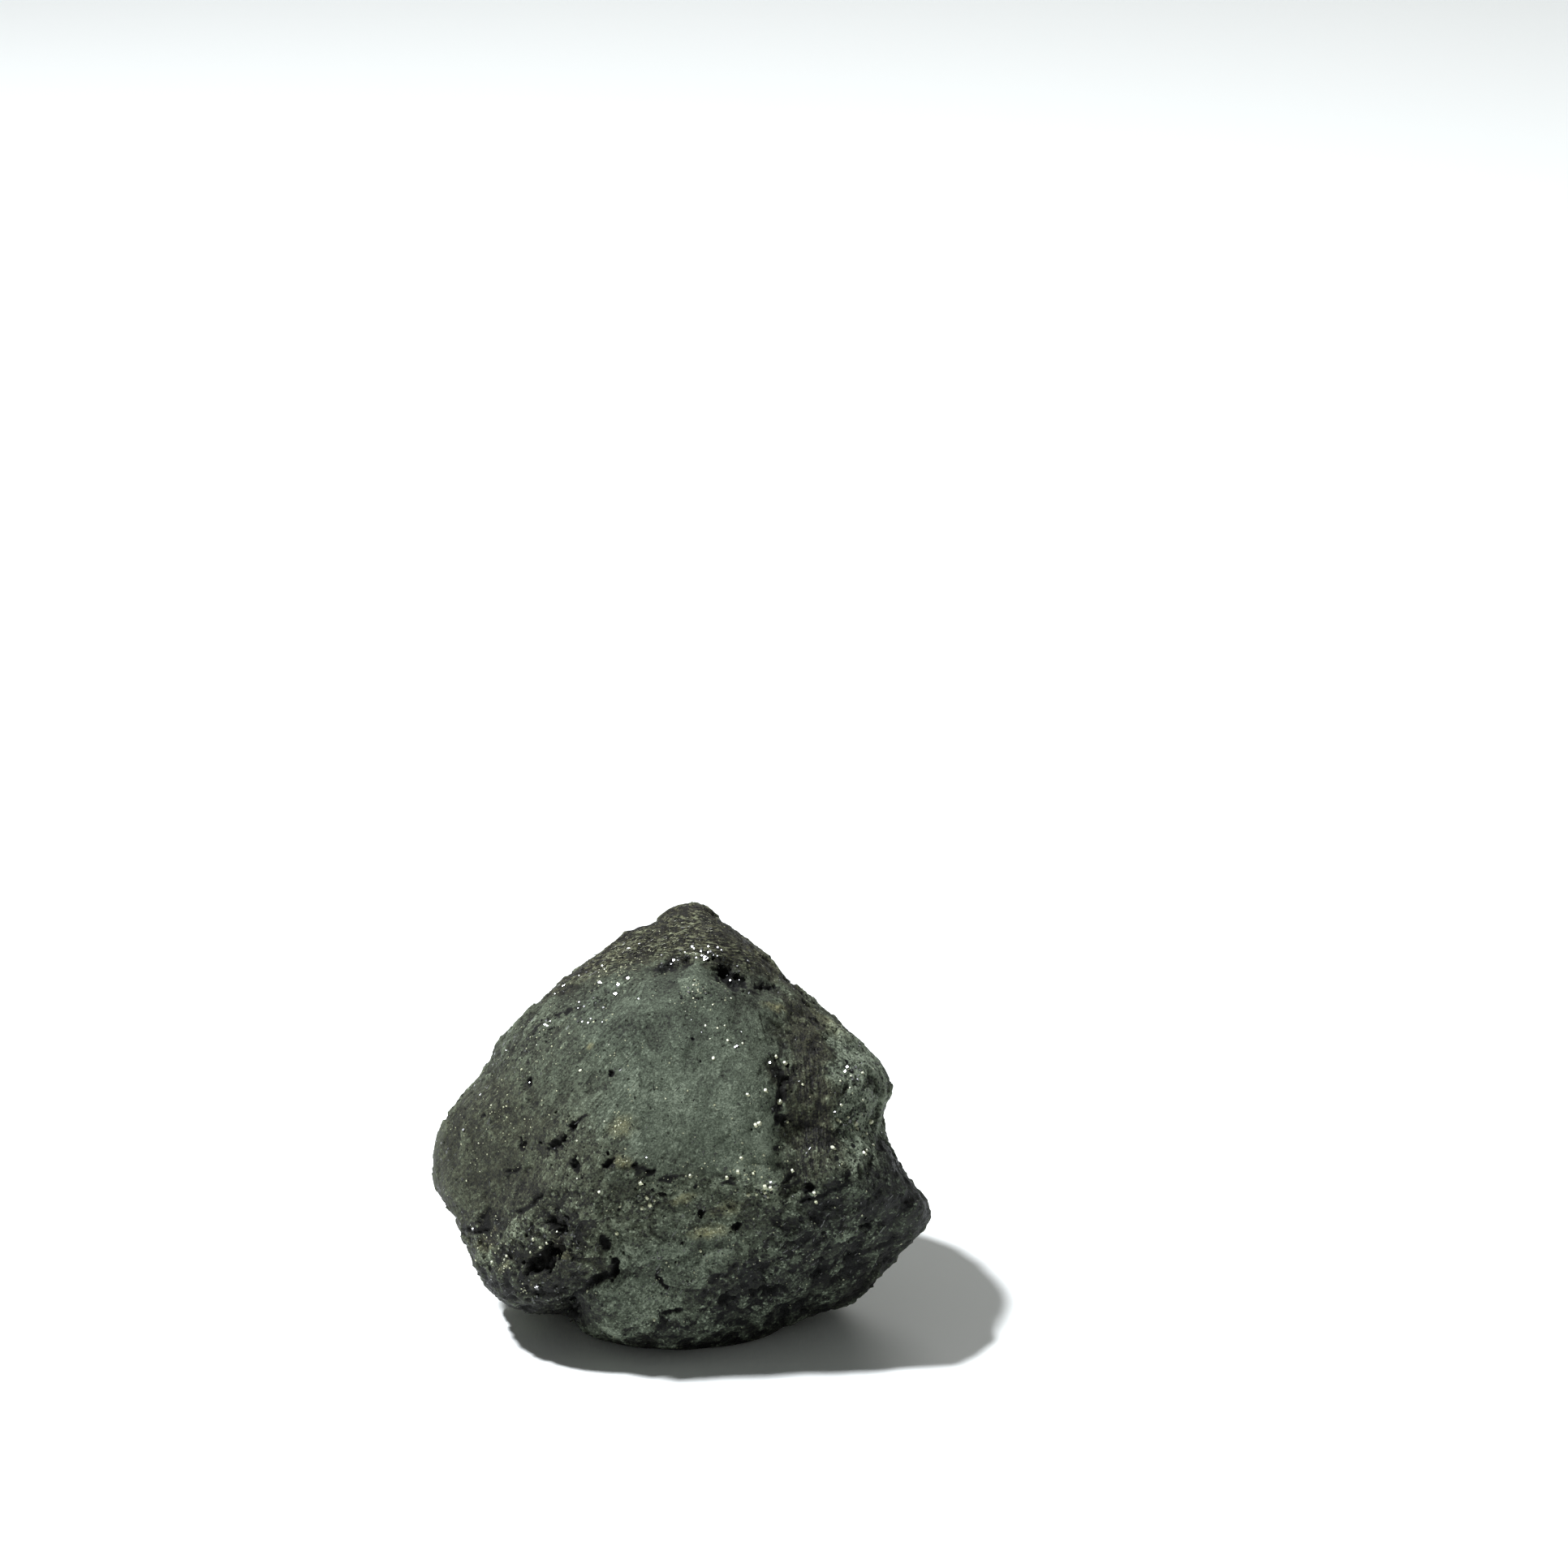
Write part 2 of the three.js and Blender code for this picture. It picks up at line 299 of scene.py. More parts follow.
pits = [  # u, v, length, width, turn, depth
    [-18.2, 5.4, 0.9, 0.28, 72, 0.5], [-8.2, 6.3, 0.6, 0.4, 60, 0.4], [-13.1, 0.1, 0.7, 0.35, 55, 0.5],
    [-15.2, -2.3, 1.1, 0.6, 45, 0.5], [-14.2, -1.6, 0.5, 0.4, 80, 0.5], [-19.1, -2.5, 0.8, 0.6, 60, 0.5],
    [-23.7, 1.2, 0.4, 0.3, 60, 0.4], [-12.7, -4.9, 0.6, 1, 20, 0.6], [-8.6, -4.5, 0.8, 0.5, 40, 0.7],
    [2.4, -10.8, 0.5, 0.7, 0, 0.6], [6.7, -12.4, 0.7, 0.6, 0, 0.8], [5.2, -21.1, 1.3, 0.6, 20, 0.6],
    [11.1, -20, 1.4, 0.9, 30, 0.7], [9, -20.6, 0.7, 0.5, 10, 0.6], [15.7, -7.4, 0.9, 0.6, 10, 0.6],
    [22.6, -12.4, 1, 0.45, 8, 0.6], [17.3, -13.2, 0.5, 0.3, 20, 0.4], [16.6, -18.3, 1.2, 0.7, 40, 0.6],
    [20.3, -16.2, 1, 0.5, 50, 0.6], [12.3, 0.6, 0.7, 0.9, 0, 0.4], [12.9, 5.6, 0.5, 0.7, -20, 0.4],
    [5.5, 18.6, 1.7, 0.75, -38, 0.8], [7.2, 17.5, 1.3, 0.6, -30, 0.6], [10, 16.8, 1.5, 0.35, -5, 0.3],
    [-9, -14.3, 1.1, 0.6, -50, 0.4], [-7.9, -17.2, 0.6, 1.2, -10, 0.8], [-9.9, -18.5, 1.4, 0.5, 35, 0.7],
    [-15.6, -11.9, 1.2, 0.6, -60, 0.7], [-14.5, -12.6, 1.6, 0.7, 70, 0.9],
    [-15.9, -14.6, 1.2, 0.6, 60, 0.7], [-17, -16.7, 2.4, 1.3, 33, 1.2], [-14.9, -15.2, 1.5, 0.5, 20, 0.7],
    [-18.3, -17.9, 0.6, 0.8, 0, 0.6], [-12.9, -22.6, 0.9, 0.9, 0, 0.8], [-17.6, -20.8, 0.9, 0.4, 15, 0.5],
    [-18.8, -22.3, 1.2, 0.4, 5, 0.5], [-5.6, -4.6, 0.6, 0.35, 30, 0.5], [-3.4, -5.6, 0.6, 0.4, 10, 0.5],
    [-2.4, -8.4, 0.8, 0.4, 20, 0.4], [-2.2, -19, 1.1, 0.35, -50, 0.3], [-0.5, -22.4, 1.6, 0.35, 6, 0.4],
    [1.5, 10.5, 0.3, 0.3, 0, 0.3],
]
cracks = [  # width, depth, path
    [0.22, 0.45, [(-26.6, -12.6), (-24.1, -12.9), (-22.8, -12.2)]],
    [0.24, 0.45, [(-20.3, -10.5), (-19.4, -10.5), (-18.6, -10), (-17.8, -9.6), (-17.4, -9), (-16.7, -8.3)]],
    [0.2, 0.4, [(-21.4, -5.7), (-20.2, -5.6), (-19.3, -4.9)]],
    [0.25, 0.6, [(-7.6, -15.8), (-7.8, -17), (-8.9, -18.3), (-10.4, -18.9), (-12.6, -20.3),
        (-13.3, -22.8)]],
    [0.22, 0.5, [(-16.2, -15.6), (-14.5, -14.2), (-14.9, -12.4), (-16, -10.9)]],
    [0.1, 0.1, [(-13.2, 0), (-12, 0.9), (-11, 1.4)]],
    [0.15, 0.2, [(-17.8, 11.4), (-15.4, 13.3), (-13.2, 14.4)]],
    [0.22, 0.22, [(12, -7.2), (13, -6.4), (14, -5.4)]],
    [0.22, 0.14, [(14.5, -9.3), (18, -8.2), (20.5, -6.8)]],
]
steps = [  # height, softness, run-out to each side, path: the ground falls to the right of it
    [0.7, 0.35, 3.5, [(13.2, 12), (12.2, 9), (12.8, 5.5), (11.8, 1.5), (11.6, -2), (12.8, -5.5)]],
    [0.55, 0.3, 3, [(-8.6, -4.3), (-2.5, -5.8), (4, -6.4), (10.6, -7.4), (15.4, -7), (21.6, -5.4),
        (25, -2.6)]],
    [0.8, 0.25, 1.5, [(-5, 18.6), (-2.4, 19.6), (0.8, 20.2), (3.2, 19.6), (5.4, 18.2), (8.2, 16.6),
        (11, 16.2)]],
    [0.42, 0.25, 2.5, [(-7.6, 17.6), (-12, 14.6), (-16.5, 12), (-20.9, 8.3), (-25.5, 4.6)]],
    [0.45, 0.3, 2, [(10.4, 14.1), (11.6, 13.4), (13.2, 13.3)]],
    [0.35, 0.4, 2.5, [(-2, -21.4), (5, -17.6), (12, -14.6), (20, -11.6), (26, -8.6)]],
]
stains = [  # middle, reach, turn, strength
    [(-7.3, -0.2), (1.5, 1.1), 20, 0.6], [(-6.9, -4.5), (1, 0.7), -20, 0.9],
    [(3.4, -12.9), (2.4, 0.6), 6, 0.8], [(0.3, -8.9), (1.6, 0.5), 18, 0.7], [(-11, 9.7), (0.3, 0.35), 0, 1],
    [(-22.7, -12.6), (0.8, 0.35), -10, 0.9], [(-23.5, -14.3), (1.2, 0.9), 0, 0.7],
    [(-21.3, -16.9), (0.4, 0.9), -30, 0.8], [(11.7, 14.3), (1.3, 0.45), -15, 1],
    [(-14.9, -14.4), (0.5, 1), 20, 0.7], [(-13.8, -15.8), (0.9, 0.6), 0, 0.6],
    [(-18.4, -19.4), (0.6, 0.4), 40, 0.8], [(5.5, -10.2), (2.6, 0.9), 10, 0.4],
    [(17.5, 13.5), (3.5, 1.4), -40, 0.5],
]
pale = [  # pale patches of painted sheen, where a soft haze of reflection lies: middle, reach, turn, how much lighter
    [(10.2, -7.6), (1.9, 1.1), 10, 0.45], [(7.2, -5.2), (1.9, 0.9), 10, 0.2],
    [(20.6, 6), (1.3, 1.1), 0, 0.2], [(21.5, 0.2), (1.2, 0.9), 40, 0.2], [(9.8, -1.5), (1, 3), 0, 0.12],
]

grain = {
    "wander": 4.5,  # mm, spacing of the noise that lets marks stray
    "fray": 1.1,  # mm, and of the one that frays their edges
    "zoneStray": (2.2, 0.5),  # mm that each mark strays and frays
    "stepStray": (1, 0.7),
    "stainFray": 0.5,
    "paleFray": 0.6,
    "holeFray": 0.3,
    "holeRagged": (0.5, 1.3),  # mm and strength of a finer noise round the pits
    "waves": [(7.0, 0.22), (2.8, 0.10)],
    "fineWaves": [(1.3, 0.10), (0.7, 0.05)],
    "breaks": [(3.6, 0.32), (1.5, 0.34), (0.85, 0.22)],  # size of the flat breaks, and how far they tilt
    "capStart": (18.9, 21.6),  # v, from where the cap starts to where it is full
    "capFray": 0.8,  # mm
    "capBend": 0.016,  # its streaks arch over with the stone's top
    "capLayers": 0.10,  # mm, height
    "ridgeCalm": 0.7,  # the crystal face is that much smoother between its ridges
    "slant": 50,  # degrees, the way the mottling and scratches run across the front
    "drawnOut": 1.6,  # that many times as long as wide
}
ridges = {  # mm, the fine ridges of the crystal face
    "spacing": 1.25,
    "run": 22,
    "height": 0.22,
    "closer": 2.3,  # others lie that many times closer, and are that much of the height
    "closerRun": 15,
    "closerShare": 0.5,
}
marks = {
    "weakest": 0.35,  # strength of the cap's streaks and of the ledges where they nearly stop
    "capPatches": (-0.35, 0.2),  # of the noise, from there to where they are strong
    "ledgePatches": (-0.35, 0.25),
    "ledgeEnds": 2.5,  # mm, a ledge fades in from its ends
    "ledgeShade": (1.6, 0.8, 1.8),  # painted shadow under its edge: strength, how far under its edge and how wide, in softnesses
    "ledgeBlots": (-0.25, 0.35),
    "ledgeGlint": (0.5, 0.8, 1.2),  # strength, how far above its edge and how wide, in mm
    "pitRim": (1.7, 0.5),  # from its rim to its floor, and how frayed that is
    "pitFray": 0.9,
    "pitBareAndShade": (0.1, 0.7),  # share of its depth, from where it starts to darken to where it is black: black schorl, partly painted shade
    "crackEnds": (-0.3, 0.7),  # mm
    "crackDepth": 0.7,  # share of the depth, and the rest comes and goes
    "ridged": 0.05,  # the crystal face has streaks from this on
}
streaks = {  # length and thickness in mm, and how strongly they show
    "cap": (1.3, 0.18, 0.72),
    "trough": (2.5, 0.5, 0.3),
    "ridges": (14, 0.38, 0.4),
    "scratches": (2.2, 0.3, 0.12),
}
troughTilt = 0.06
slantAxis = across(grain["slant"])
slantAcross = toCamera.cross(slantAxis)

dustLook = {
    "blots": (1.3, 0.6, 0.75),  # mm, two spacings, and the strength of the finer
    "clouds": (3.2, 0.3),  # mm and strength
    "haze": (1.1, 0.07),
    "onHighs": 0.9,  # lighter on what stands out, and darker in what is sunk
    "highs": (-0.35, 0.25),  # mm
    "pocks": (0.2, 0.5),  # the blots' noise, from where a pock starts to its floor
    "pockDepth": 0.22,  # mm
    "pockDark": 0.5,
}


def comeAndGo(patches, slow):
    weakest = marks["weakest"]
    return weakest + (1 - weakest) * smoothstep(*patches, slow)


class Spot:  # a point of the skin: where it is, how it looks, and how far it moves out
    def __init__(self, vert, ridge):
        self.point = vert.co / mm
        self.p = self.point - heart
        self.u, self.v = seenAt(self.point)
        self.towards = vert.normal.dot(toCamera)
        self.front = smoothstep(*form["frontOut"], self.towards)
        self.wander = noise.noise_vector(self.p / grain["wander"])
        self.fray = noise.noise_vector(self.p / grain["fray"])
        self.capLine = self.v + grain["capBend"] * self.u * self.u
        self.cap = smoothstep(*grain["capStart"], self.capLine + grain["capFray"] * self.fray.z)
        self.cap *= smoothstep(*form["capOut"], self.towards)
        self.trough = self.front * math.exp(-oval(self.u, self.v, *troughOval) ** 2)
        self.ridge = ridge

    def strayed(self, stray, fray):
        u = self.u + stray * self.wander.x + fray * self.fray.x
        return u, self.v + stray * self.wander.y + fray * self.fray.y

    def isNear(self, at, reach):
        return abs(self.u - at[0]) < reach and abs(self.v - at[1]) < reach

    def takeLook(self):
        u, v = self.strayed(*grain["zoneStray"])
        weights = [self.front * math.exp(-oval(u, v, *zone[:3]) ** 2) for zone in zones]
        total = elsewhereWeight + sum(weights)
        look = []
        for i, plain in enumerate(elsewhere):
            shares = sum(weight * zone[3 + i] for weight, zone in zip(weights, zones))
            look.append((elsewhereWeight * plain + shares) / total)
        look = [plain + self.cap * (onCap - plain) for plain, onCap in zip(look, capLook)]
        self.dust, self.mottling, self.rough, self.brown, self.glint = look
        self.rough *= 1 - grain["ridgeCalm"] * self.ridge

    def addRelief(self):
        tilted = 0
        for size, tilt in grain["breaks"]:
            tilted += tilt * hackly(self.p + Vector((3 * size, 1.7, 0)), size)
        self.fine = self.rough * layers(self.p, grain["fineWaves"])
        self.fine += self.rough * tilted
        self.out = self.fine + (0.5 + 0.5 * self.rough) * layers(self.p, grain["waves"])
        over, along = self.p.dot(crystalAcross), self.p.dot(crystalAxis)
        stripe = noise.noise(Vector((over / ridges["spacing"], along / ridges["run"], 3)))
        closer = Vector((over * ridges["closer"] / ridges["spacing"], along / ridges["closerRun"], 8))
        stripe += ridges["closerShare"] * noise.noise(closer)
        self.out += self.ridge * ridges["height"] * stripe

    def addStreaks(self):  # its place in the streaks' own pattern, and how strongly they show
        p = self.p
        if self.cap > self.trough and self.cap > self.ridge:
            length, thickness, strength = streaks["cap"]
            arch = p.dot(upView) + grain["capBend"] * p.x * p.x
            self.lay = (p.x / length, arch / thickness, p.dot(toCamera) / length)
            patchy = comeAndGo(marks["capPatches"], self.wander.x + 0.4 * self.fray.x)
            self.laid = strength * self.cap * patchy * smoothstep(*form["capStreakOut"], self.towards)
            layer = Vector((self.u / length, self.capLine / (2 * thickness), 5))
            self.out += grain["capLayers"] * self.cap * noise.noise(layer)
        elif self.trough > self.ridge:
            length, thickness, strength = streaks["trough"]
            self.lay = (self.v / length, (self.u + troughTilt * self.v) / thickness, 0)
            self.laid = strength * self.trough
        elif self.ridge > marks["ridged"]:
            length, thickness, strength = streaks["ridges"]
            self.lay = (p.dot(crystalAxis) / length, p.dot(crystalAcross) / thickness, 0)
            self.laid = strength * self.ridge
        else:
            length, thickness, strength = streaks["scratches"]
            self.lay = (p.dot(slantAxis) / length, p.dot(slantAcross) / thickness, p.dot(toCamera) / length)
            self.laid = strength * self.front

    def addDust(self):
        slant = self.p.dot(slantAxis)
        drawn = self.p - (1 - 1 / grain["drawnOut"]) * slant * slantAxis
        spacing, finer, share = dustLook["blots"]
        self.blots = noise.noise(drawn / spacing + Vector((4, 0, 0))) + share * noise.noise(drawn / finer)
        low, high = dustLook["highs"]
        spacing, strength = dustLook["clouds"]
        clouds = strength * self.mottling * noise.noise(drawn / spacing + Vector((0, 9, 0)))
        self.dust += clouds + dustLook["onHighs"] * min(high, max(low, self.fine))
        spacing, strength = dustLook["haze"]
        self.dust += strength * noise.noise(drawn / spacing + Vector((0, 0, 6))) * (1 - self.mottling)
        pock = self.rough * smoothstep(*dustLook["pocks"], self.blots)
        self.out -= dustLook["pockDepth"] * pock
        self.dark = dustLook["pockDark"] * self.mottling * pock

    def addSteps(self):  # ledges, with a painted shadow just under their edge, and glinting along it
        u, v = self.strayed(*grain["stepStray"])
        patchy = comeAndGo(marks["ledgePatches"], self.wander.z + 0.5 * self.fray.z)
        bareAndShaded, under, wide = marks["ledgeShade"]
        gleam, above, broad = marks["ledgeGlint"]
        for height, soft, runOut, path in steps:
            distance, inset = fromPath(u, v, path)
            if abs(distance) < 4 * runOut:  # next to nothing is left beyond
                strength = self.front * smoothstep(0, marks["ledgeEnds"], inset)
                strength *= math.exp(-abs(distance) / runOut)
                strength *= patchy
                fall = 1 - 2 * smoothstep(-soft, soft, distance)
                self.out += 0.5 * height * strength * fall
                # painted shade: the coat darkens just under the ledge's edge, standing in for its shadow
                shade = bareAndShaded * height * strength * smoothstep(*marks["ledgeBlots"], self.blots)
                shade *= math.exp(-((distance - under * soft) / (wide * soft)) ** 2)
                self.dark = max(self.dark, shade)
                self.glint += gleam * strength * math.exp(-((distance + above) / broad) ** 2)

    def addPits(self):
        u, v = self.strayed(0, grain["holeFray"])
        spacing, strength = grain["holeRagged"]
        ragged = strength * noise.noise(self.p / spacing)
        for pitU, pitV, length, width, turn, depth in pits:
            if self.isNear((pitU, pitV), 4):  # mm
                rim = 2 * oval(u, v, (pitU, pitV), (length, width), turn) * (1 + ragged)
                hole = self.front * smoothstep(*marks["pitRim"], rim + marks["pitFray"] * self.fray.z)
                self.out -= depth * hole
                # black schorl in the hole, darkened further as painted shade
                self.dark = max(self.dark, smoothstep(*marks["pitBareAndShade"], hole))

    def addCracks(self):
        u, v = self.strayed(0, grain["holeFray"])
        for width, depth, path in cracks:
            distance, inset = fromPath(u, v, path)
            if abs(distance) < 4 * width:
                hole = self.front * math.exp(-(distance / width) ** 2)
                hole *= smoothstep(*marks["crackEnds"], inset)
                self.out -= depth * hole * (marks["crackDepth"] + self.fray.z)
                # dark along the crack: black schorl, and painted shade in the crevice
                self.dark = max(self.dark, hole)

    def addPatches(self):  # pale patches of painted sheen, and brown stains
        u, v = self.strayed(0, grain["paleFray"])
        for at, reach, turn, more in pale:
            if self.isNear(at, 6):
                share = self.front * math.exp(-oval(u, v, at, reach, turn))
                self.dust += share * more
                self.dark *= 1 - share
        u, v = self.strayed(0, grain["stainFray"])
        for at, reach, turn, strength in stains:
            if self.isNear(at, 6):
                stain = self.front * strength * math.exp(-oval(u, v, at, reach, turn))
                self.brown = max(self.brown, stain)


looks = ("dust", "pittedAndShaded", "brown", "glint", "laid", "mottled")  # what the material reads at each place


def sculpt(bm):
    ridged = bm.verts.layers.float["ridged"]
    low, high = (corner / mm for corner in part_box("stone"))
    dust, pittedAndShaded, brown, glint, laid, mottled = (bm.verts.layers.float.new(name) for name in looks)
    lay = bm.verts.layers.float_vector.new("lay")
    share, more = form["room"]
    moves = []
    for vert in bm.verts:
        spot = Spot(vert, vert[ridged])
        spot.takeLook()
        spot.addRelief()
        spot.addStreaks()
        spot.addDust()
        if spot.front > 0:
            spot.addSteps()
            spot.addPits()
            spot.addCracks()
            spot.addPatches()
        vert[dust], vert[pittedAndShaded], vert[brown] = spot.dust, spot.dark, spot.brown
        vert[glint], vert[laid], vert[mottled] = spot.glint, spot.laid, spot.mottling
        vert[lay] = spot.lay
        room = min(*(spot.point - low).xy, *(high - spot.point))
        out = min(spot.out - form["inset"], share * room + more)
        moves.append(out * smoothstep(*form["flatFoot"], spot.point.z))
    for vert, out in zip(bm.verts, moves):
        vert.co += vert.normal * out * mm
    bm.normal_update()


def settle(bm):  # flat underneath again, and inside the solid's own box
    low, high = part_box("stone")
    for vert in bm.verts:
        for i in range(3):
            vert.co[i] = min(high[i], max(low[i], vert.co[i]))


schorl = {
    "clean": "#0b0c0b",
    "thinDust": "#242720",
    "dust": "#4b5346",
    "thickDust": "#7c8574",
    "darkBrown": "#26231b",
    "tan": "#999770",
    "thickness": {"clean": 0.08, "thinDust": 0.33, "dust": 0.66, "thickDust": 1},  # at each colour
    "roughness": (0.45, 0.85),  # clean and dusty
    "dustyFrom": 0.5,  # thickness
    "facetRoughness": 0.14,
    "hollowRoughness": 1,
    "ior": 1.64,
    "specular": 0.12,  # the dust takes the shine off
    "grain": (0.5, 4, 0.6),  # mm, and the detail and roughness of its noise
    "grit": (0.21, 2, 0.6),
    "blot": (1.5, 5, 0.68),
    "vein": (1, 3, 0.65),  # the streaks' own pattern is already to scale
    "sparkle": 0.26,  # mm, the clean facets and the light and dark grains
    "speck": 1.4,  # mm between the small dark specks
    "speckTurn": 45,  # degrees
    "speckSquash": 0.55,
    "facets": 0.16,  # share of them that are clean facets, where all glints
    "bump": 0.2,  # mm
    # the rest as a Map Range node takes it: from low, from high, to low, to high
    "grainDust": {1: 0.2, 2: 0.8, 3: -0.13, 4: 0.13},
    "gritDust": {1: 0.2, 2: 0.8, 3: -0.24, 4: 0.24},
    "lightGrains": {1: 0.8, 2: 1, 3: 0, 4: 0.45},
    "darkGrains": {1: 0.25, 2: 0, 3: 0, 4: 0.4},
    "speckled": {1: 0, 2: 0.6, 3: 0.15, 4: 1},
    "blots": {1: 0.52, 2: 0.62, 3: 0, 4: 0.6},
    "streaks": {1: 0.4, 2: 0.62, 3: -0.45, 4: 1},
    "hollows": {1: 0.16, 2: 0.62, 3: 0, 4: 0.9},
    "warmth": {1: 0.35, 2: 0.6, 3: 0.45, 4: 1.1},
    "specks": {1: 0.45, 2: 1, 3: 0, 4: 0.26},
    "speckEdge": {1: 0, 2: 0.06},
}


def roughSchorl():  # tourmaline broken along its grain: dull and dusty, with a few small glassy facets
    material, tree, shader = newMaterial("roughSchorl")
    place = addNode(tree, "TexCoord").outputs["Object"]
    inMm = addNode(tree, "VectorMath", {"operation": "SCALE", "Scale": 1 / mm}, {0: place})
    dust, pittedAndShaded, brown, glint, laid, mottled = (
        addNode(tree, "Attribute", {"attribute_name": name}).outputs["Fac"] for name in looks
    )
    lay = addNode(tree, "Attribute", {"attribute_name": "lay"}).outputs["Vector"]
    coarse, grit, blots, veins = (
        addNode(tree, "TexNoise", {"Scale": 1 / size, "Detail": detail, "Roughness": rough}, {0: at})
        for (size, detail, rough), at in (
            (schorl["grain"], inMm), (schorl["grit"], inMm), (schorl["blot"], inMm), (schorl["vein"], lay)
        )
    )
    cells = addNode(tree, "TexVoronoi", {"Scale": 1 / schorl["sparkle"]}, {"Vector": inMm})
    chance = addNode(tree, "SeparateColor", {}, {0: cells.outputs["Color"]})

    # how thick the dust lies, less what is bare and what is painted shade
    grainPart = addNode(tree, "MapRange", schorl["grainDust"], {0: coarse})
    gritPart = addNode(tree, "MapRange", schorl["gritDust"], {0: grit})
    salt = addNode(tree, "MapRange", schorl["lightGrains"], {0: chance.outputs[1]})
    pepper = addNode(tree, "MapRange", schorl["darkGrains"], {0: chance.outputs[1]})
    speckle = addNode(tree, "Math", minus, {0: salt, 1: pepper})
    speckled = addNode(tree, "MapRange", schorl["speckled"], {0: mottled})
    speckle = addNode(tree, "Math", times, {0: speckle, 1: speckled})
    blotPart = addNode(tree, "MapRange", schorl["blots"], {0: blots})
    blotPart = addNode(tree, "Math", times, {0: blotPart, 1: mottled})
    streakPart = addNode(tree, "MapRange", schorl["streaks"], {0: veins})
    streakPart = addNode(tree, "Math", times, {0: streakPart, 1: laid})
    coat, bareAndShaded = dust, pittedAndShaded
    for part in (grainPart, gritPart, streakPart, speckle):
        coat = addNode(tree, "Math", plus, {0: coat, 1: part})
    for part in (gritPart, grainPart):
        bareAndShaded = addNode(tree, "Math", plus, {0: bareAndShaded, 1: part})
    # painted shade of pits, cracks and ledges darkens the coat here, with bare black schorl
    bareAndShaded = addNode(tree, "MapRange", schorl["hollows"], {0: bareAndShaded})
    coat = addNode(tree, "Math", minus, {0: coat, 1: blotPart})
    coat = addNode(tree, "Math", {**minus, "use_clamp": True}, {0: coat, 1: bareAndShaded})

    # colour, browner where it is stained
    ramp = addNode(tree, "ValToRGB", {}, {0: coat})
    stops = ramp.color_ramp.elements
    for stop, name in zip(stops, ("clean", "thickDust")):
        stop.position, stop.color = schorl["thickness"][name], linear(schorl[name])
    for name in ("thinDust", "dust"):
        stops.new(schorl["thickness"][name]).color = linear(schorl[name])
    earths = {6: linear(schorl["darkBrown"]), 7: linear(schorl["tan"])}
    earth = addNode(tree, "Mix", {**mixed, **earths}, {0: coat})
    warm = addNode(tree, "MapRange", schorl["warmth"], {0: coarse})
    warm = addNode(tree, "Math", {**times, "use_clamp": True}, {0: warm, 1: brown})
    colour = addNode(tree, "Mix", mixed, {0: warm, 6: ramp.outputs["Color"], 7: earth})

    # small dark specks, drawn out along the break
    turn = (0, math.radians(schorl["speckTurn"]), 0)
    specks = addNode(tree, "Mapping", {"Rotation": turn, "Scale": (1, 1, schorl["speckSquash"])}, {0: inMm})
    specks = addNode(tree, "TexVoronoi", {"Scale": 1 / schorl["speck"]}, {"Vector": specks})
    speckSize = addNode(tree, "SeparateColor", {}, {0: specks.outputs["Color"]})
    speckSize = addNode(tree, "MapRange", schorl["specks"], {0: speckSize.outputs[0]})
    speckSize = addNode(tree, "Math", times, {0: speckSize, 1: speckled})
    speck = addNode(tree, "Math", minus, {0: speckSize, 1: specks.outputs["Distance"]})
    speck = addNode(tree, "MapRange", schorl["speckEdge"], {0: speck})
    clean = linear(schorl["clean"])
    colour = addNode(tree, "Mix", {**mixed, 7: clean}, {0: speck, 6: colour})

    # clean facets, each turned its own way
    share = addNode(tree, "Math", {**times, 1: schorl["facets"]}, {0: glint})
    facet = addNode(tree, "Math", {"operation": "LESS_THAN"}, {0: chance.outputs[0], 1: share})
    thin = linear(schorl["thinDust"])
    colour = addNode(tree, "Mix", {**mixed, 7: thin}, {0: facet, 6: colour})
    tree.links.new(colour.outputs[2], shader.inputs["Base Color"])

    low, high = schorl["roughness"]
    dull = addNode(tree, "MapRange", {1: 0, 2: schorl["dustyFrom"], 3: low, 4: high}, {0: coat})
    dull = addNode(tree, "Mix", {3: schorl["facetRoughness"]}, {0: facet, 2: dull})
    dull = addNode(tree, "Mix", {3: schorl["hollowRoughness"]}, {0: pittedAndShaded, 2: dull})
    tree.links.new(dull.outputs[0], shader.inputs["Roughness"])
    shader.inputs["IOR"].default_value = schorl["ior"]
    shader.inputs["Specular IOR Level"].default_value = schorl["specular"]

    height = grainPart
    for part in (gritPart, streakPart, speckle):
        height = addNode(tree, "Math", plus, {0: height, 1: part})
    for part in (blotPart, speck):
        height = addNode(tree, "Math", minus, {0: height, 1: part})
    bump = addNode(tree, "Bump", {"Strength": 1, "Distance": schorl["bump"] * mm}, {"Height": height})
    smooth = addNode(tree, "NewGeometry").outputs["Normal"]
    normal = addNode(tree, "Mix", {"data_type": "VECTOR"}, {0: facet, 4: bump, 5: smooth})
    tilt = addNode(tree, "VectorMath", {**minus, 1: (0.5, 0.5, 0.5)}, {0: cells.outputs["Color"]})
    tilt = addNode(tree, "VectorMath", {"operation": "SCALE"}, {0: tilt, "Scale": facet})
    normal = addNode(tree, "VectorMath", plus, {0: normal, 1: tilt})
    normal = addNode(tree, "VectorMath", {"operation": "NORMALIZE"}, {0: normal})
    tree.links.new(normal.outputs[0], shader.inputs["Normal"])
    return material


def finishPiece(bm, name, material):
    print(name, "has", len(bm.faces), "faces")
    mesh = bpy.data.meshes.new(name)
    bm.to_mesh(mesh)
    bm.free()
    mesh.materials.append(material)
    piece = bpy.data.objects.new(name, mesh)
    scene.collection.objects.link(piece)
    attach(piece, "root")
    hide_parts("stone")
    return piece


